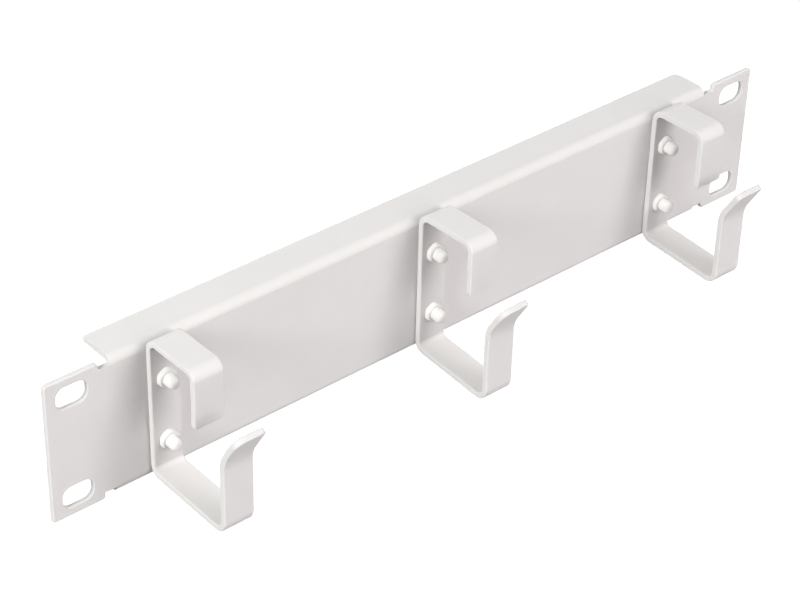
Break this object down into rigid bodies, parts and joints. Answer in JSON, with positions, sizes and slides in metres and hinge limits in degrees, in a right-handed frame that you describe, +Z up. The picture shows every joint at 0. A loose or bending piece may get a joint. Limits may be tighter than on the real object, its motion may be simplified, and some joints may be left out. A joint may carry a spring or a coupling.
{
  "type": "rack cable management panel",
  "caption": "Folded sheet panel with slotted ears for a narrow equipment rack, carrying bent strip hooks that hold cable bundles in front of it.",
  "frame": {"origin": "middle of the four rack slots, on the back face of the ears, which lies on the rack's rails", "axes": "+X along the panel from the left ear to the right ear, +Y back into the rack along the rack screws, +Z up. The hooks reach out along -Y"},
  "size_m": [0.2524, 0.05, 0.0482],
  "materials": {
    "panel_coat": "fine pale warm grey powder coat on folded sheet steel",
    "hook_coat": "fine pale warm grey powder coat on bent steel strip",
    "fastener_coat": "pale warm grey coat over steel screws and nuts"
  },
  "bodies": {
    "root": {"panel": "panel_coat", "hook_left": "hook_coat", "hook_middle": "hook_coat", "hook_right": "hook_coat", "screw_left_upper": "fastener_coat", "nut_left_upper": "fastener_coat", "screw_left_lower": "fastener_coat", "nut_left_lower": "fastener_coat", "screw_middle_upper": "fastener_coat", "nut_middle_upper": "fastener_coat", "screw_middle_lower": "fastener_coat", "nut_middle_lower": "fastener_coat", "screw_right_upper": "fastener_coat", "nut_right_upper": "fastener_coat", "screw_right_lower": "fastener_coat", "nut_right_lower": "fastener_coat"}
  },
  "joints": []
}
